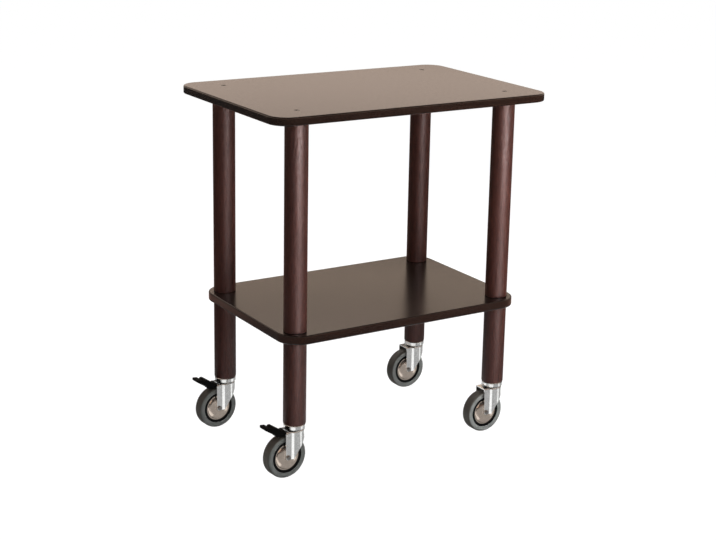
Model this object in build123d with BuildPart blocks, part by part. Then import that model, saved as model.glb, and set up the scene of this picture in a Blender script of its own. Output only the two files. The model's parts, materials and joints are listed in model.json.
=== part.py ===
from build123d import *
import os

# Two-tier serving trolley on four swivel casters, two of them with a foot brake.
# Millimetres, +Z up, +X along the trolley, origin on the floor below the middle of the top.
# A caster is modelled once about its own swivel axis, with its wheel trailing toward -X,
# and is then set under each leg at the angle where it is parked.

os.makedirs("parts", exist_ok=True)

# Panels
TOTAL_HEIGHT = 800
TOP_LENGTH = 690
TOP_DEPTH = 465
TOP_THICKNESS = 18
TOP_CORNER_RADIUS = 42
SHELF_THICKNESS = 20
SHELF_CORNER_RADIUS = 50
SHELF_HEIGHT = 326
PANEL_EDGE_ROUNDING = 3

# Legs, set in from the edges of the top, and how far the shelf reaches past their middles
LEG_DIAMETER = 50
LEG_INSET_X = 81
LEG_INSET_Y = 68
SHELF_REACH_X = 39
SHELF_REACH_Y = 42.5
LEG_END_BEVEL = 1
LEG_FOOT_ROUNDING = 2.5

# Screws, studs and inserts that hold the wood together
SCREW_DIAMETER = 6
SCREW_LENGTH = 60
SCREW_POINT = 5
SCREW_HEAD_DIAMETER = 11
SCREW_HEAD_ANGLE = 90
SCREW_SINK = 0.3
SCREW_SOCKET_ACROSS = 4
SCREW_SOCKET_DEPTH = 2.5
STUD_DIAMETER = 10
STUD_GRIP = 50
INSERT_DIAMETER = 14
INSERT_LENGTH = 30
BORE_END_GAP = 3
END_CHAMFER = 1

# Caster head and kingpin
CASTER_HEIGHT = 118
HEAD_DIAMETER = 48
HEAD_DEPTH = 9
HEAD_PLATE = 3
HEAD_RIM = 2.5
HEAD_ROUNDING = 2
HEAD_GAP = 3
STEM_DIAMETER = 10
STEM_LENGTH = 28
KINGPIN_DIAMETER = 12
KINGPIN_HEAD_DIAMETER = 24
KINGPIN_HEAD_DEPTH = 4
RACE_DIAMETER = 34
RACE_BORE = 18
RACE_BOSS = 3

# Fork
TRAIL = 26
FORK_PLATE = 2
FORK_REAR_WIDTH = 34
FORK_FRONT_WIDTH = 44
FORK_STEP_AHEAD = 7.5
FORK_STEP_RUN = 4.5
FORK_CREASE = 5
FORK_BEND = 2.5
FORK_END_RADIUS = 6
FORK_LEAN = 1.5
FORK_TOE_AHEAD = 18
FORK_TOE_RADIUS = 5
FORK_SKIRT = 8

# Wheel
WHEEL_DIAMETER = 96
TYRE_WIDTH = 27
TYRE_SHOULDER = 4.5
TYRE_DISH = 1.5
RIM_DIAMETER = 72
RIM_WIDTH = 24
RIM_DEPTH = 8
WEB_WIDTH = 8
HUB_DIAMETER = 19
BUSH_WALL = 2
BUSH_SIDE_GAP = 0.15
DISC_DIAMETER = 60
DISC_RECESS = 1.3
DISC_FLANGE = 2.8
DISC_STEP_RUN = 1.2
DISC_STEP_RISE = 1.2
DISC_CROWN = 1.8
DISC_BULGE = 1.2
DISC_SHEET = 1.2

# Axle
AXLE_DIAMETER = 6
AXLE_HEAD_DIAMETER = 10
AXLE_HEAD_DEPTH = 3.5
AXLE_HEAD_ROUNDING = 1.2
NUT_ACROSS = 10
NUT_TURN = 30
NUT_DEPTH = 5
AXLE_END = 1.5

# Foot brake
PIVOT_BACK = 26
PIVOT_HEIGHT = 100.8
PIVOT_DIAMETER = 4.5
PIVOT_HEAD_DIAMETER = 9
PIVOT_HEAD_DEPTH = 2
PIVOT_HEAD_ROUNDING = 1
EAR_RADIUS = 6.5
PEDAL_HUB_DIAMETER = 8.4
PEDAL_NOTCH_GAP = 1.5
PEDAL_REACH = 55.5
PEDAL_RISE = 25
PEDAL_TIP_DEPTH = 5
PEDAL_KNEE_REACH = 29
PEDAL_KNEE_RISE = 21
PEDAL_BELLY_REACH = 24
PEDAL_SOLE_RISE = 1.5
PEDAL_TIP_WIDTH = 26
PEDAL_ROOT_WIDTH = 29
PEDAL_ROUNDING = 2
PEDAL_RIDGE_LENGTH = 4.5
PEDAL_BLOCK_LENGTH = 13
PEDAL_DIP_WIDTH = 3.5
PEDAL_DIP_DEPTH = 3.3
SHOE_LENGTH = 13
SHOE_WIDTH = 18
BRAKE_TRAVEL = 16
BRAKE_GAP = 0.6

# Clearances
FIT = 0.05
SEAT_GAP = 0.1
SIDE_PLAY = 0.4

# Where the legs stand, how far each caster is turned, and which casters have a brake
LEG_X = TOP_LENGTH / 2 - LEG_INSET_X
LEG_Y = TOP_DEPTH / 2 - LEG_INSET_Y
LEG_CENTRES = {
    "front_left": (-LEG_X, -LEG_Y),
    "front_right": (LEG_X, -LEG_Y),
    "back_left": (-LEG_X, LEG_Y),
    "back_right": (LEG_X, LEG_Y),
}
CASTER_TURN = {"front_left": 4, "front_right": 1, "back_left": 4, "back_right": 1}
BRAKED = ("front_left", "back_left")

# Levels and places that follow from the sizes above
TOP_UNDERSIDE = TOTAL_HEIGHT - TOP_THICKNESS
SHELF_UNDERSIDE = SHELF_HEIGHT - SHELF_THICKNESS
SHELF_LENGTH = 2 * (LEG_X + SHELF_REACH_X)
SHELF_DEPTH = 2 * (LEG_Y + SHELF_REACH_Y)
SCREW_TOP = TOTAL_HEIGHT - SCREW_SINK
HEAD_UNDERSIDE = CASTER_HEIGHT - HEAD_PLATE
WEB_TOP = CASTER_HEIGHT - HEAD_DEPTH - HEAD_GAP
WEB_UNDERSIDE = WEB_TOP - FORK_PLATE
RACE_SEAT = WEB_TOP + RACE_BOSS
WHEEL_RADIUS = WHEEL_DIAMETER / 2
RIM_RADIUS = RIM_DIAMETER / 2
FORK_FACE = FORK_REAR_WIDTH / 2
FORK_INSIDE = FORK_FACE - FORK_PLATE
FORK_BACK = -TRAIL - FORK_END_RADIUS - FORK_LEAN
FORK_FRONT = FORK_FRONT_WIDTH / 2
WHEEL_PLANE = Plane(origin=(-TRAIL, 0, WHEEL_RADIUS))
AXLE = Axis((-TRAIL, 0, WHEEL_RADIUS), (0, 1, 0))
PIVOT = Vector(-PIVOT_BACK, 0, PIVOT_HEIGHT)


def write(part, name):
    """Label one finished piece and write it to its own file."""
    part.label = name
    export_step(part, f"parts/{name}.step")


def side_plane(x, z):
    """Plane across the caster through a point of its middle, with X forward and Y up."""
    return Plane(origin=(x, 0, z), x_dir=(1, 0, 0), z_dir=(0, -1, 0))


def round_bar(section_points):
    """Closed half section of a turned piece, as pairs of radius and height."""
    with BuildLine() as section:
        Polyline(*section_points, close=True)
    make_face(section.edges())


# Top panel, countersunk for one screw into each leg
with BuildPart() as top_panel:
    with BuildSketch(Plane.XY.offset(TOP_UNDERSIDE)):
        RectangleRounded(TOP_LENGTH, TOP_DEPTH, TOP_CORNER_RADIUS)
    extrude(amount=TOP_THICKNESS)
    fillet(top_panel.faces().filter_by(Axis.Z).edges(), PANEL_EDGE_ROUNDING)
    with Locations(*[(x, y, TOTAL_HEIGHT) for x, y in LEG_CENTRES.values()]):
        CounterSinkHole(
            SCREW_DIAMETER / 2 + FIT,
            SCREW_HEAD_DIAMETER / 2 + SCREW_SINK + FIT,
            counter_sink_angle=SCREW_HEAD_ANGLE,
        )
write(top_panel.part, "top_panel")

# Lower shelf, held between the upper and lower legs by studs that pass through it
with BuildPart() as shelf_panel:
    with BuildSketch(Plane.XY.offset(SHELF_UNDERSIDE)):
        RectangleRounded(SHELF_LENGTH, SHELF_DEPTH, SHELF_CORNER_RADIUS)
    extrude(amount=SHELF_THICKNESS)
    fillet(shelf_panel.faces().filter_by(Axis.Z).edges(), PANEL_EDGE_ROUNDING)
    with Locations(*[(x, y, SHELF_HEIGHT) for x, y in LEG_CENTRES.values()]):
        Hole(STUD_DIAMETER / 2 + FIT)
write(shelf_panel.part, "shelf_panel")

# Upper leg, a turned post with a screw hole above and a stud hole below
with BuildPart() as upper_leg:
    with BuildSketch(Plane.XY.offset(SHELF_HEIGHT)):
        Circle(LEG_DIAMETER / 2)
    extrude(amount=TOP_UNDERSIDE - SHELF_HEIGHT)
    chamfer(upper_leg.edges().filter_by(GeomType.CIRCLE), LEG_END_BEVEL)
    with BuildSketch(Plane.XY.offset(SHELF_HEIGHT)):
        Circle(STUD_DIAMETER / 2 + FIT)
    extrude(amount=STUD_GRIP + BORE_END_GAP, mode=Mode.SUBTRACT)
    with BuildSketch(Plane.XY.offset(TOP_UNDERSIDE)):
        Circle(SCREW_DIAMETER / 2 + FIT)
    extrude(amount=-(SCREW_LENGTH - TOP_THICKNESS + BORE_END_GAP), mode=Mode.SUBTRACT)

# Lower leg, rounded at its foot, with a stud hole above and a bore for the insert below
with BuildPart() as lower_leg:
    with BuildSketch(Plane.XY.offset(CASTER_HEIGHT)):
        Circle(LEG_DIAMETER / 2)
    extrude(amount=SHELF_UNDERSIDE - CASTER_HEIGHT)
    leg_ends = lower_leg.edges().filter_by(GeomType.CIRCLE).sort_by(Axis.Z)
    fillet(leg_ends[0], LEG_FOOT_ROUNDING)
    chamfer(leg_ends[-1], LEG_END_BEVEL)
    with BuildSketch(Plane.XY.offset(SHELF_UNDERSIDE)):
        Circle(STUD_DIAMETER / 2 + FIT)
    extrude(amount=-(STUD_GRIP + BORE_END_GAP), mode=Mode.SUBTRACT)
    with BuildSketch(Plane.XY.offset(CASTER_HEIGHT)):
        Circle(INSERT_DIAMETER / 2 + FIT)
    extrude(amount=INSERT_LENGTH, mode=Mode.SUBTRACT)

for corner, (x, y) in LEG_CENTRES.items():
    write(upper_leg.part.moved(Pos(x, y)), f"upper_leg_{corner}")
    write(lower_leg.part.moved(Pos(x, y)), f"lower_leg_{corner}")

# Countersunk screw from the top into a leg, with a socket for a hexagon key
with BuildPart() as screw:
    with BuildSketch(Plane.XZ):
        round_bar([
            (0, SCREW_TOP),
            (SCREW_HEAD_DIAMETER / 2, SCREW_TOP),
            (SCREW_DIAMETER / 2, SCREW_TOP - (SCREW_HEAD_DIAMETER - SCREW_DIAMETER) / 2),
            (SCREW_DIAMETER / 2, SCREW_TOP - SCREW_LENGTH + SCREW_POINT),
            (0, SCREW_TOP - SCREW_LENGTH),
        ])
    revolve(axis=Axis.Z)
    with BuildSketch(Plane.XY.offset(SCREW_TOP)):
        RegularPolygon(SCREW_SOCKET_ACROSS / 2, 6, major_radius=False)
    extrude(amount=-SCREW_SOCKET_DEPTH, mode=Mode.SUBTRACT)

# Stud through the shelf that draws an upper and a lower leg together
with BuildPart() as stud:
    with BuildSketch(Plane.XY.offset(SHELF_UNDERSIDE - STUD_GRIP)):
        Circle(STUD_DIAMETER / 2)
    extrude(amount=SHELF_THICKNESS + 2 * STUD_GRIP)
    chamfer(stud.edges().filter_by(GeomType.CIRCLE), END_CHAMFER)

# Metal insert in the foot of a leg, which takes the caster's stem
with BuildPart() as insert:
    with BuildSketch(Plane.XY.offset(CASTER_HEIGHT)):
        Circle(INSERT_DIAMETER / 2)
        Circle(STEM_DIAMETER / 2 + FIT, mode=Mode.SUBTRACT)
    extrude(amount=INSERT_LENGTH)

for fastener, name in ((screw, "top_screws"), (stud, "leg_studs"), (insert, "stem_inserts")):
    with BuildPart() as fasteners:
        with Locations(*LEG_CENTRES.values()):
            add(fastener.part)
    write(fasteners.part, name)

# Caster head, a pressed cap under the leg that covers the swivel bearing
with BuildPart() as caster_head:
    with BuildSketch(Plane.XZ) as head_section:
        round_bar([
            (STEM_DIAMETER / 2 + FIT, CASTER_HEIGHT),
            (HEAD_DIAMETER / 2, CASTER_HEIGHT),
            (HEAD_DIAMETER / 2, CASTER_HEIGHT - HEAD_DEPTH),
            (HEAD_DIAMETER / 2 - HEAD_RIM, CASTER_HEIGHT - HEAD_DEPTH),
            (HEAD_DIAMETER / 2 - HEAD_RIM, HEAD_UNDERSIDE),
            (STEM_DIAMETER / 2 + FIT, HEAD_UNDERSIDE),
        ])
        fillet(head_section.vertices().group_by(Axis.Y)[-1].sort_by(Axis.X)[-1], HEAD_ROUNDING)
    revolve(axis=Axis.Z)

# Kingpin that the fork turns on, with the stem that screws into the leg
with BuildPart() as caster_stem:
    with BuildSketch(Plane.XZ):
        round_bar([
            (0, RACE_SEAT - FORK_PLATE - SEAT_GAP - KINGPIN_HEAD_DEPTH),
            (KINGPIN_HEAD_DIAMETER / 2, RACE_SEAT - FORK_PLATE - SEAT_GAP - KINGPIN_HEAD_DEPTH),
            (KINGPIN_HEAD_DIAMETER / 2, RACE_SEAT - FORK_PLATE - SEAT_GAP),
            (KINGPIN_DIAMETER / 2, RACE_SEAT - FORK_PLATE - SEAT_GAP),
            (KINGPIN_DIAMETER / 2, HEAD_UNDERSIDE),
            (STEM_DIAMETER / 2, HEAD_UNDERSIDE),
            (STEM_DIAMETER / 2, CASTER_HEIGHT + STEM_LENGTH - END_CHAMFER),
            (STEM_DIAMETER / 2 - END_CHAMFER, CASTER_HEIGHT + STEM_LENGTH),
            (0, CASTER_HEIGHT + STEM_LENGTH),
        ])
    revolve(axis=Axis.Z)

# Swivel bearing, a thrust ring between the fork and the caster head
with BuildPart() as swivel_bearing:
    with BuildSketch(Plane.XY.offset(RACE_SEAT)):
        Circle(RACE_DIAMETER / 2)
        Circle(RACE_BORE / 2, mode=Mode.SUBTRACT)
    extrude(amount=HEAD_UNDERSIDE - RACE_SEAT - SEAT_GAP)


def fork_plan():
    """Plan of the fork: flat cheeks that step outward in two bends, joined round the front by an arc."""
    back = FORK_BACK - 2 * FORK_PLATE
    step = -TRAIL + FORK_STEP_AHEAD
    corners = [(back, FORK_FACE), (step, FORK_FACE), (step + FORK_STEP_RUN, FORK_FRONT), (0, FORK_FRONT)]
    with BuildLine() as plan:
        cheek = FilletPolyline(*corners, radius=FORK_CREASE)
        ThreePointArc(cheek @ 1, (FORK_FRONT, 0), (0, -FORK_FRONT))
        far_cheek = FilletPolyline(*[(x, -y) for x, y in corners], radius=FORK_CREASE)
        Line(cheek @ 0, far_cheek @ 0)
    make_face(plan.edges())


def make_fork(braked):
    """Fork pressed from one sheet, with ears for the pedal's pin on a braked caster."""
    fork_depth = WEB_TOP - WHEEL_RADIUS + FORK_END_RADIUS
    with BuildPart() as fork:
        with BuildSketch(Plane.XY.offset(WEB_TOP)):
            fork_plan()
        extrude(amount=-fork_depth)
        rim = fork.faces().sort_by(Axis.Z)[-1].edges().sort_by(Axis.X)
        fillet(rim[1:], FORK_BEND)
        with BuildSketch(Plane.XY.offset(WEB_UNDERSIDE)):
            fork_plan()
            offset(amount=-FORK_PLATE)
        extrude(amount=-fork_depth, mode=Mode.SUBTRACT)
        # Seen from the side each cheek runs down from the skirt to a rounded end at the axle,
        # and on a braked caster its upper back corner is an ear round the pin
        with BuildSketch(side_plane(0, 0).offset(-FORK_FRONT_WIDTH)):
            with Locations((-TRAIL, WHEEL_RADIUS)):
                Circle(FORK_END_RADIUS)
            with Locations((-FORK_TOE_AHEAD, WHEEL_RADIUS)):
                Circle(FORK_TOE_RADIUS)
            if braked:
                with Locations((PIVOT.X, PIVOT.Z)):
                    Circle(EAR_RADIUS)
            skirt_front = FORK_FRONT + FORK_PLATE
            skirt_back = PIVOT.X if braked else FORK_BACK
            with Locations((skirt_front, WEB_TOP - FORK_SKIRT)):
                skirt_length = skirt_front - skirt_back
                Rectangle(skirt_length, FORK_SKIRT + FORK_PLATE, align=(Align.MAX, Align.MIN))
            make_hull()
        extrude(amount=2 * FORK_FRONT_WIDTH, mode=Mode.INTERSECT)
        if braked:
            # The web is notched between the ears for the pedal's hub
            with BuildSketch(Plane.XY.offset(WEB_UNDERSIDE - FORK_PLATE)):
                with Locations((PIVOT.X + PEDAL_HUB_DIAMETER / 2 + PEDAL_NOTCH_GAP, 0)):
                    Rectangle(FORK_FRONT, 2 * FORK_INSIDE, align=(Align.MAX, Align.CENTER))
            extrude(amount=3 * FORK_PLATE, mode=Mode.SUBTRACT)
            with BuildSketch(side_plane(PIVOT.X, PIVOT.Z)):
                Circle(PIVOT_DIAMETER / 2 + FIT)
            extrude(amount=FORK_FRONT, both=True, mode=Mode.SUBTRACT)
        # The web rises in a round boss under the bearing and is hollow below it
        with BuildSketch(Plane.XY.offset(WEB_UNDERSIDE)):
            Circle(RACE_DIAMETER / 2)
        extrude(amount=FORK_PLATE + RACE_BOSS)
        with BuildSketch(Plane.XY.offset(WEB_UNDERSIDE)):
            Circle(RACE_DIAMETER / 2 - FORK_PLATE)
        extrude(amount=RACE_BOSS, mode=Mode.SUBTRACT)
        with BuildSketch(Plane.XY.offset(WEB_UNDERSIDE)):
            Circle(KINGPIN_DIAMETER / 2 + FIT)
        extrude(amount=FORK_PLATE + RACE_BOSS, mode=Mode.SUBTRACT)
        with BuildSketch(side_plane(-TRAIL, WHEEL_RADIUS)):
            Circle(AXLE_DIAMETER / 2 + FIT)
        extrude(amount=FORK_FRONT, both=True, mode=Mode.SUBTRACT)
    return fork.part


# Axle bolt through both cheeks, and the nut on its far end
with BuildPart() as axle:
    with BuildSketch(WHEEL_PLANE) as axle_section:
        round_bar([
            (0, -FORK_FACE - AXLE_HEAD_DEPTH),
            (AXLE_HEAD_DIAMETER / 2, -FORK_FACE - AXLE_HEAD_DEPTH),
            (AXLE_HEAD_DIAMETER / 2, -FORK_FACE),
            (AXLE_DIAMETER / 2, -FORK_FACE),
            (AXLE_DIAMETER / 2, FORK_FACE + NUT_DEPTH + AXLE_END - END_CHAMFER),
            (AXLE_DIAMETER / 2 - END_CHAMFER, FORK_FACE + NUT_DEPTH + AXLE_END),
            (0, FORK_FACE + NUT_DEPTH + AXLE_END),
        ])
        head_corner = axle_section.vertices().group_by(Axis.Y)[0].sort_by(Axis.X)[-1]
        fillet(head_corner, AXLE_HEAD_ROUNDING)
    revolve(axis=AXLE)

with BuildPart() as axle_nut:
    with BuildSketch(side_plane(-TRAIL, WHEEL_RADIUS).offset(-FORK_FACE - NUT_DEPTH)):
        RegularPolygon(NUT_ACROSS / 2, 6, major_radius=False, rotation=NUT_TURN)
        Circle(AXLE_DIAMETER / 2 + FIT, mode=Mode.SUBTRACT)
    extrude(amount=NUT_DEPTH)

# Tyre, with rounded shoulders and side walls that dish in toward the rim
with BuildPart() as tyre:
    with BuildSketch(WHEEL_PLANE) as tyre_section:
        round_bar([
            (RIM_RADIUS, TYRE_DISH - TYRE_WIDTH / 2),
            (WHEEL_RADIUS, -TYRE_WIDTH / 2),
            (WHEEL_RADIUS, TYRE_WIDTH / 2),
            (RIM_RADIUS, TYRE_WIDTH / 2 - TYRE_DISH),
        ])
        fillet(tyre_section.vertices().group_by(Axis.X)[-1], TYRE_SHOULDER)
    revolve(axis=AXLE)

# Wheel core: rim, thin web and a hub that ends under the discs, with a ledge in the rim for each disc
BUSH_RADIUS = AXLE_DIAMETER / 2 + FIT + BUSH_WALL
DISC_FACE = RIM_WIDTH / 2 - DISC_RECESS
DISC_RADIUS = DISC_DIAMETER / 2
DISC_EYE = DISC_FACE + DISC_STEP_RISE + DISC_CROWN
HUB_SIDE = DISC_EYE - DISC_SHEET - SIDE_PLAY
with BuildPart() as wheel_core:
    with BuildSketch(WHEEL_PLANE):
        round_bar([
            (BUSH_RADIUS + FIT, 0),
            (BUSH_RADIUS + FIT, HUB_SIDE),
            (HUB_DIAMETER / 2, HUB_SIDE),
            (HUB_DIAMETER / 2, WEB_WIDTH / 2),
            (RIM_RADIUS - RIM_DEPTH, WEB_WIDTH / 2),
            (RIM_RADIUS - RIM_DEPTH, DISC_FACE - DISC_SHEET),
            (DISC_RADIUS + SEAT_GAP, DISC_FACE - DISC_SHEET),
            (DISC_RADIUS + SEAT_GAP, RIM_WIDTH / 2),
            (RIM_RADIUS, RIM_WIDTH / 2),
            (RIM_RADIUS, 0),
        ])
        mirror(about=Plane.XZ)
    revolve(axis=AXLE)

# Cover discs, pressed from sheet with a flat flange, a small step and a dome up to the bush
with BuildPart() as wheel_discs:
    with BuildSketch(WHEEL_PLANE):
        sheet = Vector(0, DISC_SHEET)
        step_foot = Vector(DISC_RADIUS - DISC_FLANGE, DISC_FACE)
        step_head = step_foot + Vector(-DISC_STEP_RUN, DISC_STEP_RISE)
        eye = Vector(BUSH_RADIUS + SIDE_PLAY, DISC_EYE)
        dome_middle = (step_head + eye) / 2 + Vector(0, DISC_BULGE)
        with BuildLine():
            face = Polyline((DISC_RADIUS, DISC_FACE), step_foot, step_head)
            ThreePointArc(step_head, dome_middle, eye)
            Line(eye, eye - sheet)
            ThreePointArc(eye - sheet, dome_middle - sheet, step_head - sheet)
            Polyline(step_head - sheet, step_foot - sheet, face @ 0 - sheet, face @ 0)
        make_face()
    revolve(axis=AXLE)
    mirror(about=Plane.XZ)

# Bush in the hub, which turns on the axle
with BuildPart() as wheel_bush:
    with BuildSketch(side_plane(-TRAIL, WHEEL_RADIUS)):
        Circle(BUSH_RADIUS)
        Circle(AXLE_DIAMETER / 2 + FIT, mode=Mode.SUBTRACT)
    extrude(amount=FORK_INSIDE - BUSH_SIDE_GAP, both=True)

# Pin that the pedal turns on, with a rounded head on each side of the fork
with BuildPart() as brake_pin:
    with BuildSketch(Plane(origin=PIVOT)) as pin_section:
        round_bar([
            (0, 0),
            (PIVOT_DIAMETER / 2, 0),
            (PIVOT_DIAMETER / 2, FORK_FACE),
            (PIVOT_HEAD_DIAMETER / 2, FORK_FACE),
            (PIVOT_HEAD_DIAMETER / 2, FORK_FACE + PIVOT_HEAD_DEPTH),
            (0, FORK_FACE + PIVOT_HEAD_DEPTH),
        ])
        fillet(pin_section.vertices().group_by(Axis.Y)[-1].sort_by(Axis.X)[-1], PIVOT_HEAD_ROUNDING)
        mirror(about=Plane.XZ)
    revolve(axis=Axis(PIVOT, (0, 1, 0)))

# The pressed pedal brings its shoe down to the tread, so the shoe is hollowed by the tyre
# as the tyre stands to the pedal at the end of its travel
TYRE_AT_SHOE = (AXLE.position - PIVOT).rotate(Axis.Y, BRAKE_TRAVEL)
SHOE_TOP = PEDAL_SOLE_RISE - PEDAL_HUB_DIAMETER / 2 + PIVOT_DIAMETER / 2

# Foot pedal: a lever that rises from its hub to a tread with a dip across it
with BuildPart() as brake_pedal:
    tip = Vector(-PEDAL_REACH, PEDAL_RISE)
    knee = Vector(-PEDAL_KNEE_REACH, PEDAL_KNEE_RISE)
    along = (tip - knee).normalized()
    ridge = knee + along * PEDAL_RIDGE_LENGTH
    dip = ridge + along * PEDAL_DIP_WIDTH - Vector(0, PEDAL_DIP_DEPTH)
    with BuildSketch(side_plane(PIVOT.X, PIVOT.Z)) as lever:
        with BuildLine():
            Polyline(
                (0, PEDAL_HUB_DIAMETER / 2),
                (-PEDAL_HUB_DIAMETER / 2, PEDAL_HUB_DIAMETER / 2),
                knee,
                ridge,
                dip,
                tip - along * PEDAL_BLOCK_LENGTH,
                tip,
                tip - Vector(0, PEDAL_TIP_DEPTH),
                (-PEDAL_BELLY_REACH, SHOE_TOP),
                (0, SHOE_TOP),
                close=True,
            )
        make_face()
        fillet(lever.vertices().group_by(Axis.X)[0], PEDAL_ROUNDING)
        Circle(PEDAL_HUB_DIAMETER / 2)
        Circle(PIVOT_DIAMETER / 2 + FIT, mode=Mode.SUBTRACT)
    extrude(amount=FORK_INSIDE - SIDE_PLAY, both=True)
    with BuildSketch(Plane.XY.offset(PIVOT.Z - PEDAL_HUB_DIAMETER)) as outline:
        with BuildLine():
            root = PIVOT.X - EAR_RADIUS
            Polyline(
                (PIVOT.X + PEDAL_HUB_DIAMETER, FORK_INSIDE),
                (root, FORK_INSIDE),
                (root, PEDAL_ROOT_WIDTH / 2),
                (PIVOT.X - PEDAL_REACH, PEDAL_TIP_WIDTH / 2),
                (PIVOT.X - PEDAL_REACH, -PEDAL_TIP_WIDTH / 2),
                (root, -PEDAL_ROOT_WIDTH / 2),
                (root, -FORK_INSIDE),
                (PIVOT.X + PEDAL_HUB_DIAMETER, -FORK_INSIDE),
                close=True,
            )
        make_face()
        fillet(outline.vertices().group_by(Axis.X)[0], 2 * PEDAL_ROUNDING)
    extrude(amount=PEDAL_HUB_DIAMETER + PEDAL_RISE + PEDAL_TIP_DEPTH, mode=Mode.INTERSECT)

# Brake shoe under the pedal, hollowed to the tread
with BuildPart() as brake_shoe:
    with BuildSketch(side_plane(PIVOT.X, PIVOT.Z)):
        with Locations((-PEDAL_BELLY_REACH, SHOE_TOP)):
            Rectangle(SHOE_LENGTH, PEDAL_HUB_DIAMETER, align=(Align.MIN, Align.MAX))
        with Locations((TYRE_AT_SHOE.X, TYRE_AT_SHOE.Z)):
            Circle(WHEEL_RADIUS + BRAKE_GAP, mode=Mode.SUBTRACT)
    extrude(amount=SHOE_WIDTH / 2, both=True)

plain_fork = make_fork(braked=False)
braked_fork = make_fork(braked=True)
CASTER_PIECES = {
    "caster_head": caster_head.part,
    "caster_stem": caster_stem.part,
    "swivel_bearing": swivel_bearing.part,
    "axle": axle.part,
    "axle_nut": axle_nut.part,
    "tyre": tyre.part,
    "wheel_core": wheel_core.part,
    "wheel_discs": wheel_discs.part,
    "wheel_bush": wheel_bush.part,
}
BRAKE_PIECES = {
    "brake_pin": brake_pin.part,
    "brake_pedal": brake_pedal.part,
    "brake_shoe": brake_shoe.part,
}
for corner, (x, y) in LEG_CENTRES.items():
    pieces = {"fork": plain_fork, **CASTER_PIECES}
    if corner in BRAKED:
        pieces = {"fork": braked_fork, **CASTER_PIECES, **BRAKE_PIECES}
    for name, part in pieces.items():
        write(part.moved(Location((x, y, 0), (0, 0, CASTER_TURN[corner]))), f"{name}_{corner}")
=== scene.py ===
import fnmatch
import json
import math

import bpy
from mathutils import Matrix, Vector

# Serving trolley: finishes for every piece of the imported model, a pale floor, soft light and the camera.
# Metres, in the model's own frame: +Z up, +X along the trolley, origin on the floor.

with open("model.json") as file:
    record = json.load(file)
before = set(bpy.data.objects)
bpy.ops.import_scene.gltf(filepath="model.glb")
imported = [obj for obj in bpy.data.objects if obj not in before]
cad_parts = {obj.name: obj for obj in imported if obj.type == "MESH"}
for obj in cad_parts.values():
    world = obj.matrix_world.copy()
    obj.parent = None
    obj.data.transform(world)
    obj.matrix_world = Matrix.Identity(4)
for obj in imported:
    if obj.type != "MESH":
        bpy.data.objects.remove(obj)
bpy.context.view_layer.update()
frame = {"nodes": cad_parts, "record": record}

# Camera, at the photograph's viewing angle
IMAGE_WIDTH = 716
CAMERA_PLACE = (-1.7716, -2.8398, 1.3737)
CAMERA_AZIMUTH = -33.259
CAMERA_ELEVATION = 15.193
CAMERA_ROLL = 1.425
FOCAL_PIXELS = 1524.98
SENSOR_WIDTH = 36
VIEW_CENTRE_RIGHT = 37
VIEW_CENTRE_UP = 35

# Floor and background, which only the camera sees
WHITE = (1, 1, 1)
STAGE_SIZE = 30
WALL_SIDES = ((1, 0), (0, 1), (-1, 0), (0, -1))
FLOOR_COLOUR = (0.1, 0.1, 0.1)
FLOOR_ROUGHNESS = 0.9
FLOOR_GLOW = 0.99
WALL_GLOW = 1.0

# Lamps, which light surfaces but don't show in them; one of them reaches only the tyres
LIT_MIDDLE = (0, 0, 0.45)
WORLD_STRENGTH = 0.06
LAMPS = {
    "key": {"place": (0.4, -1.1, 1.0), "size": (0.5, 0.4), "power": 3},
    "bounce": {"place": (0.55, -1.6, 0.005), "size": (1.1, 1.4), "power": 29, "target": (0.55, -1.6, 1)},
    "fill": {"place": (-2.2, -2.2, 1.4), "size": (2.0, 2.0), "power": 5},
    "back": {"place": (0.6, 2.2, 1.2), "size": (1.5, 1.0), "power": 25},
    "overhead": {"place": (0, 0, 3.2), "size": (3.0, 3.0), "power": 60},
    "low": {"place": (0.6, -0.6, 0.12), "size": (0.4, 0.2), "power": 2.6, "reach": "tyre_*"},
}

# Lamps that show only as the sheen along the legs: distance to the right for each end of the trolley,
# then height and power
GLEAM_SIZE = (0.6, 0.3)
GLEAM_DISTANCE = 0.95
GLEAM_RIGHT = {"left": -0.19, "right": 0.21}
GLEAM_HEIGHTS = {"high": (0.62, 11.5), "low": (0.1, 2.6)}

# Rings and cards round the trolley, which show only in reflections; the wall ring's shades go by height
SURROUND_RADIUS = 1.6
SURROUND_BOTTOM = 0.70
SURROUND_TOP = 1.5
SURROUND_SIDES = 48
SURROUND_SHADES = (
    (0.77, (1.70, 1.31, 1.02)),
    (0.85, (0.62, 0.48, 0.37)),
    (0.89, (0.26, 0.20, 0.16)),
    (0.95, (0.22, 0.17, 0.13)),
    (1.00, (1.62, 1.28, 1.07)),
    (1.06, (1.40, 1.11, 0.92)),
    (1.10, (1.07, 0.85, 0.71)),
    (1.20, (0.96, 0.76, 0.63)),
)
FLOOR_RING_RADII = (1.1, 1.55)
FLOOR_RING_COLOUR = (0.54, 0.32, 0.26)
LOW_CARD_SIZE = (1.37, 1.17)
LOW_CARD_HEIGHT = 0.0005
LOW_CARD_STRENGTH = 0.45
FAN_HEIGHT = 0.001
FAN_REACH = (0.06, 0.38)
FAN_ANGLES = ((-62, -20), (40, 58))
FAN_STRENGTH = 1.2

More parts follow.
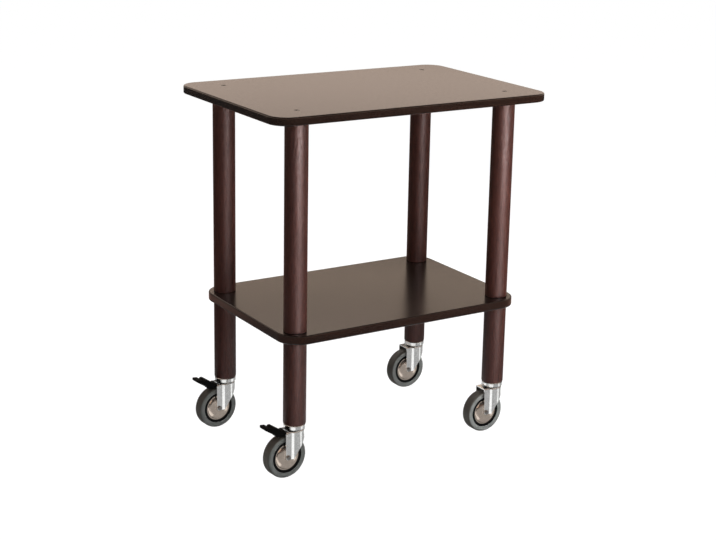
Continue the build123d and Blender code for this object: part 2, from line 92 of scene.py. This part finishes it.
# Textures: scales per metre, stretches along the grain, and the spans of a value over which shades change
IOR = 1.5
NOISE_SPAN = (0.3, 0.7)
GRAIN_SCALE = 60
GRAIN_STRETCH = 0.04
PORE_SCALE = 900
PORE_SHADE = (0.55, 0.5, 0.5)
PORE_SPAN = (0.34, 0.46)
STAIN_SCALE = 9
STAIN_SHADE = (0.85, 0.85, 0.85)
SPOT_SCALE = 250
SPOT_STRETCH = 0.4
EDGE_SPAN = (0.5, 0.95)
SMEAR_SCALE = 140
SMEAR_SHADE = 0.88
WAVE_SCALE = 45
DISC_WAVE_SCALE = 160
CLOUD_SCALE = 60
# Share of a tyre's radius over which the painted shade on its tread sets in
TREAD_SPAN = (0.93, 0.965)


class Finish:
    """One procedural material: a Principled shader and the textures that drive its sockets."""

    def __init__(self, name, constants):
        self.material = bpy.data.materials.new(name)
        self.material.use_nodes = True
        self.nodes = self.material.node_tree.nodes
        self.links = self.material.node_tree.links
        self.shader = self.nodes["Principled BSDF"]
        self.places = self.nodes.new("ShaderNodeTexCoord")
        for socket, value in constants.items():
            self.shader.inputs[socket].default_value = value

    def stretched(self, scale=(1, 1, 1), source="Object", start=(0, 0, 0)):
        """Texture space of the piece, scaled along each axis."""
        mapping = self.nodes.new("ShaderNodeMapping")
        mapping.inputs["Location"].default_value = start
        mapping.inputs["Scale"].default_value = scale
        self.links.new(self.places.outputs[source], mapping.inputs["Vector"])
        return mapping.outputs["Vector"]

    def noise(self, vector, scale, detail=3, distortion=0):
        """Cloudy value around one half."""
        texture = self.nodes.new("ShaderNodeTexNoise")
        texture.inputs["Scale"].default_value = scale
        texture.inputs["Detail"].default_value = detail
        texture.inputs["Distortion"].default_value = distortion
        self.links.new(vector, texture.inputs["Vector"])
        return texture.outputs["Fac"]

    def spread(self, value, limits, span=NOISE_SPAN):
        """A value stretched from its own span to new limits."""
        spread = self.nodes.new("ShaderNodeMapRange")
        spread.inputs["From Min"].default_value, spread.inputs["From Max"].default_value = span
        spread.inputs["To Min"].default_value, spread.inputs["To Max"].default_value = limits
        self.links.new(value, spread.inputs["Value"])
        return spread.outputs["Result"]

    def from_axle(self):
        """Distance from a wheel's axle, as a share of its radius; Generated runs from 0 to 1 across it."""
        length = self.nodes.new("ShaderNodeVectorMath")
        length.operation = "LENGTH"
        self.links.new(self.stretched((2, 0, 2), "Generated", (-1, 0, -1)), length.inputs[0])
        return length.outputs["Value"]

    def levelness(self):
        """How nearly level the surface lies, from 0 on edges to 1 on faces."""
        split = self.nodes.new("ShaderNodeSeparateXYZ")
        self.links.new(self.places.outputs["Normal"], split.inputs["Vector"])
        size = self.nodes.new("ShaderNodeMath")
        size.operation = "ABSOLUTE"
        self.links.new(split.outputs["Z"], size.inputs[0])
        return size.outputs["Value"]

    def shades(self, value, dark, light, span=NOISE_SPAN):
        """A value as a colour between two shades."""
        ramp = self.nodes.new("ShaderNodeValToRGB")
        first, last = ramp.color_ramp.elements
        first.position, last.position = span
        first.color, last.color = (*dark, 1), (*light, 1)
        self.links.new(value, ramp.inputs["Fac"])
        return ramp.outputs["Color"]

    def multiplied(self, first, second):
        """Product of two colours."""
        mix = self.nodes.new("ShaderNodeMix")
        mix.data_type = "RGBA"
        mix.blend_type = "MULTIPLY"
        mix.inputs["Factor"].default_value = 1
        self.links.new(first, mix.inputs["A"])
        self.links.new(second, mix.inputs["B"])
        return mix.outputs["Result"]

    def bump(self, height, depth, below=None):
        """Relief of a given depth, laid over an earlier relief where there is one."""
        bump = self.nodes.new("ShaderNodeBump")
        bump.inputs["Distance"].default_value = depth
        self.links.new(height, bump.inputs["Height"])
        if below is not None:
            self.links.new(below, bump.inputs["Normal"])
        return bump.outputs["Normal"]

    def drive(self, socket, value):
        """Link a texture to one of the shader's sockets."""
        self.links.new(value, self.shader.inputs[socket])


def along_grain(axis, stretch):
    """Scale of a texture space that is stretched along one axis."""
    scale = [1, 1, 1]
    scale[axis] = stretch
    return scale


def wood(name, dark, light, along, roughness, pore_depth, gloss=0.5, mottle=0, edge=None):
    """Stained and lacquered wood whose grain runs along one axis; a panel's edge can have its own tint."""
    finish = Finish(name, {"IOR": IOR, "Specular IOR Level": gloss})
    grain_space = finish.stretched(along_grain(along, GRAIN_STRETCH))
    bands = finish.noise(grain_space, GRAIN_SCALE, detail=5, distortion=0.4)
    pores = finish.noise(grain_space, PORE_SCALE, detail=2)
    stains = finish.noise(finish.stretched(), STAIN_SCALE, detail=2)
    colour = finish.shades(bands, dark, light)
    colour = finish.multiplied(colour, finish.shades(stains, STAIN_SHADE, WHITE))
    colour = finish.multiplied(colour, finish.shades(pores, PORE_SHADE, WHITE, PORE_SPAN))
    if edge is not None:
        colour = finish.multiplied(colour, finish.shades(finish.levelness(), edge, WHITE, EDGE_SPAN))
    finish.drive("Base Color", colour)
    spots = finish.noise(finish.stretched(along_grain(along, SPOT_STRETCH)), SPOT_SCALE, detail=2)
    finish.drive("Roughness", finish.spread(spots, roughness))
    relief = finish.bump(spots, mottle, below=finish.bump(pores, pore_depth))
    finish.drive("Normal", finish.bump(bands, pore_depth, below=relief))
    return finish.material


def plated(name, colour, roughness, ripple, wave_scale=WAVE_SCALE):
    """Plated or polished steel with faint waves and smears."""
    finish = Finish(name, {"Metallic": 1.0})
    space = finish.stretched()
    smears = finish.noise(space, SMEAR_SCALE, detail=4)
    waves = finish.noise(space, wave_scale, detail=2)
    smeared = tuple(SMEAR_SHADE * channel for channel in colour)
    finish.drive("Base Color", finish.shades(smears, smeared, colour))
    finish.drive("Roughness", finish.spread(smears, roughness))
    finish.drive("Normal", finish.bump(waves, ripple))
    return finish.material


def moulded(name, dark, light, roughness, skin_scale, skin_depth, gloss=0.5, painted_tread_shade=None):
    """Moulded plastic or rubber with a fine skin; a tyre's tread can be darkened with painted shade."""
    finish = Finish(name, {"IOR": IOR, "Specular IOR Level": gloss})
    space = finish.stretched()
    skin = finish.noise(space, skin_scale, detail=3)
    clouds = finish.noise(space, CLOUD_SCALE, detail=3)
    colour = finish.shades(clouds, dark, light)
    # Painted shade: the tyre is coloured darker towards its tread, the outer part of its radius
    if painted_tread_shade is not None:
        colour = finish.multiplied(colour, finish.shades(finish.from_axle(), WHITE, painted_tread_shade, TREAD_SPAN))
    finish.drive("Base Color", colour)
    finish.drive("Roughness", finish.spread(clouds, roughness))
    finish.drive("Normal", finish.bump(skin, skin_depth))
    return finish.material


PANEL_WOOD = wood(
    "panel_wood",
    dark=(0.010, 0.006, 0.005),
    light=(0.022, 0.013, 0.010),
    along=0,
    roughness=(0.20, 0.24),
    pore_depth=0.000005,
    edge=(1.7, 1.15, 0.9),
)
LEG_WOOD = wood(
    "leg_wood",
    dark=(0.080, 0.0240, 0.0175),
    light=(0.120, 0.0360, 0.0260),
    along=2,
    roughness=(0.34, 0.54),
    pore_depth=0.00008,
    gloss=0.35,
    mottle=0.0008,
)
BRIGHT_STEEL = plated("bright_steel", (0.86, 0.86, 0.85), roughness=(0.14, 0.22), ripple=0.0001)
DISC_STEEL = plated(
    "disc_steel",
    (0.66, 0.56, 0.48),
    roughness=(0.14, 0.20),
    ripple=0.00004,
    wave_scale=DISC_WAVE_SCALE,
)
AXLE_STEEL = plated("axle_steel", (0.30, 0.29, 0.28), roughness=(0.28, 0.38), ripple=0.00005)
PLAIN_STEEL = plated("plain_steel", (0.62, 0.61, 0.60), roughness=(0.30, 0.45), ripple=0.00005)
SCREW_STEEL = plated("screw_steel", (0.04, 0.035, 0.035), roughness=(0.30, 0.45), ripple=0.00005)
GREY_RUBBER = moulded(
    "grey_rubber",
    dark=(0.265, 0.278, 0.267),
    light=(0.325, 0.339, 0.328),
    roughness=(0.55, 0.70),
    skin_scale=2500,
    skin_depth=0.00004,
    # Painted shade on the tread
    painted_tread_shade=(0.52, 0.45, 0.40),
)
BLACK_PLASTIC = moulded(
    "black_plastic",
    dark=(0.003, 0.003, 0.003),
    light=(0.006, 0.006, 0.006),
    roughness=(0.45, 0.6),
    skin_scale=2500,
    skin_depth=0.00003,
    gloss=0.1,
)
PEDAL_PLASTIC = moulded(
    "pedal_plastic",
    dark=(0.002, 0.002, 0.002),
    light=(0.005, 0.005, 0.005),
    roughness=(0.5, 0.65),
    skin_scale=1800,
    skin_depth=0.00004,
    gloss=0.08,
)
BEARING_PLASTIC = moulded(
    "bearing_plastic",
    dark=(0.05, 0.05, 0.05),
    light=(0.08, 0.08, 0.08),
    roughness=(0.4, 0.55),
    skin_scale=2000,
    skin_depth=0.00003,
)

FINISHES = {
    "top_panel": PANEL_WOOD,
    "shelf_panel": PANEL_WOOD,
    "upper_leg": LEG_WOOD,
    "lower_leg": LEG_WOOD,
    "top_screws": SCREW_STEEL,
    "leg_studs": PLAIN_STEEL,
    "stem_inserts": PLAIN_STEEL,
    "caster_head": BRIGHT_STEEL,
    "caster_stem": PLAIN_STEEL,
    "swivel_bearing": BEARING_PLASTIC,
    "fork": BRIGHT_STEEL,
    "axle": AXLE_STEEL,
    "axle_nut": PLAIN_STEEL,
    "tyre": GREY_RUBBER,
    "wheel_core": BLACK_PLASTIC,
    "wheel_discs": DISC_STEEL,
    "wheel_bush": BEARING_PLASTIC,
    "brake_pin": BRIGHT_STEEL,
    "brake_pedal": PEDAL_PLASTIC,
    "brake_shoe": PEDAL_PLASTIC,
}


def dress(node, piece):
    """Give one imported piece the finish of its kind."""
    kind = max((k for k in FINISHES if node.startswith(k)), key=len)
    piece.data.materials.clear()
    piece.data.materials.append(FINISHES[kind])


def facing(place, target):
    """Turn that points an object's -Z at a target."""
    return (Vector(target) - Vector(place)).to_track_quat("-Z", "Y").to_matrix().to_4x4()


def stage_piece(name, corners, faces, material):
    """Piece of the stage, which isn't part of the trolley."""
    mesh = bpy.data.meshes.new(name)
    mesh.from_pydata(corners, [], faces)
    mesh.materials.append(material)
    piece = bpy.data.objects.new(name, mesh)
    bpy.context.scene.collection.objects.link(piece)
    return piece


def sheet(name, size, material, place=(0, 0, 0), target=None):
    """Flat rectangle of the stage, level or turned to face a target."""
    half_x, half_y = size[0] / 2, size[1] / 2
    corners = [(-half_x, -half_y, 0), (half_x, -half_y, 0), (half_x, half_y, 0), (-half_x, half_y, 0)]
    piece = stage_piece(name, corners, [range(len(corners))], material)
    turn = Matrix.Identity(4) if target is None else facing(place, target)
    piece.matrix_world = Matrix.Translation(place) @ turn
    return piece


def fan(name, centre, angles, reach, material):
    """Wedge just over the floor, between two directions from a caster; 0 degrees is the trolley's front."""
    start, end = (math.radians(angle) for angle in angles)
    near, far = reach
    corners = []
    for turn, radius in ((start, near), (start, far), (end, far), (end, near)):
        x = centre[0] + radius * math.sin(turn)
        y = centre[1] - radius * math.cos(turn)
        corners.append((x, y, FAN_HEIGHT))
    return stage_piece(name, corners, [range(len(corners))], material)


def surround(name, radii, levels, material):
    """Open ring round the trolley, between two circles."""
    sides = SURROUND_SIDES
    turns = [2 * math.pi * side / sides for side in range(sides)]
    corners = [(r * math.cos(t), r * math.sin(t), z) for r, z in zip(radii, levels) for t in turns]
    faces = [(i, (i + 1) % sides, sides + (i + 1) % sides, sides + i) for i in range(sides)]
    return stage_piece(name, corners, faces, material)


def glow(name, colour, strength):
    """Even light from a card of the stage."""
    lit = {"Base Color": (0, 0, 0, 1), "Emission Color": (*colour, 1), "Emission Strength": strength}
    return Finish(name, {**lit, "Specular IOR Level": 0})


def graded_glow(name, height, shades):
    """Light from a wall of the stage whose colour changes with height."""
    finish = glow(name, WHITE, 1)
    split = finish.nodes.new("ShaderNodeSeparateXYZ")
    finish.links.new(finish.places.outputs["Object"], split.inputs["Vector"])
    ramp = finish.nodes.new("ShaderNodeValToRGB")
    steps = ramp.color_ramp.elements
    while len(steps) < len(shades):
        steps.new(1)
    for step, (level, colour) in zip(steps, shades):
        step.position = level / height
        step.color = (*colour, 1)
    finish.links.new(finish.spread(split.outputs["Z"], (0, 1), (0, height)), ramp.inputs["Fac"])
    finish.drive("Emission Color", ramp.outputs["Color"])
    return finish


def soft_box(name, place, size, power, target=LIT_MIDDLE, reach=None):
    """Rectangular soft light on everything, or only on the pieces whose names fit a pattern."""
    light = bpy.data.lights.new(name, "AREA")
    light.shape = "RECTANGLE"
    light.size, light.size_y = size
    light.energy = power
    lamp = bpy.data.objects.new(name, light)
    lamp.matrix_world = Matrix.Translation(place) @ facing(place, target)
    lamp.visible_camera = False
    lamp.visible_glossy = False
    if reach is not None:
        reached = bpy.data.collections.new(f"{name}_reach")
        for node in fnmatch.filter(frame["nodes"], reach):
            reached.objects.link(frame["nodes"][node])
        lamp.light_linking.receiver_collection = reached
    bpy.context.scene.collection.objects.link(lamp)
    return lamp


def leg_gleam(name, place, power, reach):
    """Soft light that only shows as the sheen along some legs."""
    lamp = soft_box(name, place, GLEAM_SIZE, power, reach=reach)
    lamp.visible_diffuse = False
    lamp.visible_glossy = True


def only_camera(piece):
    """Keep a piece of the stage out of the light and the reflections."""
    piece.visible_diffuse = False
    piece.visible_glossy = False
    piece.visible_shadow = False


def only_reflected(piece):
    """Let a piece of the stage show in reflections alone, as a studio's cards and flags do."""
    piece.visible_camera = False
    piece.visible_diffuse = False
    piece.visible_shadow = False


def build_background():
    """Glowing floor and walls."""
    paint = {
        "Base Color": (*FLOOR_COLOUR, 1),
        "Roughness": FLOOR_ROUGHNESS,
        "Emission Color": (*WHITE, 1),
        "Emission Strength": FLOOR_GLOW,
    }
    size = (STAGE_SIZE, STAGE_SIZE)
    only_camera(sheet("floor", size, Finish("floor", paint).material))
    wall_paint = glow("wall", WHITE, WALL_GLOW).material
    for number, side in enumerate(WALL_SIDES):
        place = Vector((*side, 0)) * STAGE_SIZE / 2
        only_camera(sheet(f"wall_{number}", size, wall_paint, place, (0, 0, 0)))


def build_lamps():
    """Faint even light, and the lamps that light the pieces."""
    world = bpy.data.worlds.new("studio")
    world.use_nodes = True
    background = world.node_tree.nodes["Background"]
    background.inputs["Color"].default_value = (*WHITE, 1)
    background.inputs["Strength"].default_value = WORLD_STRENGTH
    bpy.context.scene.world = world
    for name, lamp in LAMPS.items():
        soft_box(name, **lamp)


def build_reflections():
    """Rings, cards and leg lamps that show in reflections."""
    walls = graded_glow("surround", SURROUND_TOP, SURROUND_SHADES).material
    radii = (SURROUND_RADIUS, SURROUND_RADIUS)
    only_reflected(surround("surround", radii, (SURROUND_BOTTOM, SURROUND_TOP), walls))
    floor_light = glow("floor_ring", FLOOR_RING_COLOUR, 1).material
    levels = (LOW_CARD_HEIGHT, LOW_CARD_HEIGHT)
    only_reflected(surround("floor_ring", FLOOR_RING_RADII, levels, floor_light))
    for side, right in GLEAM_RIGHT.items():
        for level, (height, power) in GLEAM_HEIGHTS.items():
            place = (right, -GLEAM_DISTANCE, height)
            leg_gleam(f"gleam_{side}_{level}", place, power, f"*_leg_*_{side}")
    low_card = glow("low_card", WHITE, LOW_CARD_STRENGTH).material
    only_reflected(sheet("low_card", LOW_CARD_SIZE, low_card, (0, 0, LOW_CARD_HEIGHT)))
    bright = glow("fan", WHITE, FAN_STRENGTH).material
    for joint in frame["record"]["behaviour"]["joints"]:
        if joint["name"].startswith("swivel"):
            for number, angles in enumerate(FAN_ANGLES):
                name = f"{joint['name']}_fan_{number}"
                only_reflected(fan(name, joint["pos_m"], angles, FAN_REACH, bright))


def build_camera():
    """Camera that was fitted to the photograph's edges."""
    azimuth, elevation, roll = (math.radians(a) for a in (CAMERA_AZIMUTH, CAMERA_ELEVATION, CAMERA_ROLL))
    back = Vector((
        math.sin(azimuth) * math.cos(elevation),
        -math.cos(azimuth) * math.cos(elevation),
        math.sin(elevation),
    ))
    right = Vector((0, 0, 1)).cross(back).normalized()
    up = back.cross(right)
    turn = Matrix((right, up, back)).transposed() @ Matrix.Rotation(roll, 3, "Z")
    lens = bpy.data.cameras.new("camera")
    lens.sensor_width = SENSOR_WIDTH
    lens.lens = FOCAL_PIXELS * SENSOR_WIDTH / IMAGE_WIDTH
    lens.shift_x = -VIEW_CENTRE_RIGHT / IMAGE_WIDTH
    lens.shift_y = -VIEW_CENTRE_UP / IMAGE_WIDTH
    camera = bpy.data.objects.new("camera", lens)
    camera.matrix_world = Matrix.Translation(CAMERA_PLACE) @ turn.to_4x4()
    bpy.context.scene.collection.objects.link(camera)
    bpy.context.scene.camera = camera


for node, piece in frame["nodes"].items():
    dress(node, piece)
build_background()
build_lamps()
build_reflections()
build_camera()
bpy.context.scene.view_settings.view_transform = "Standard"
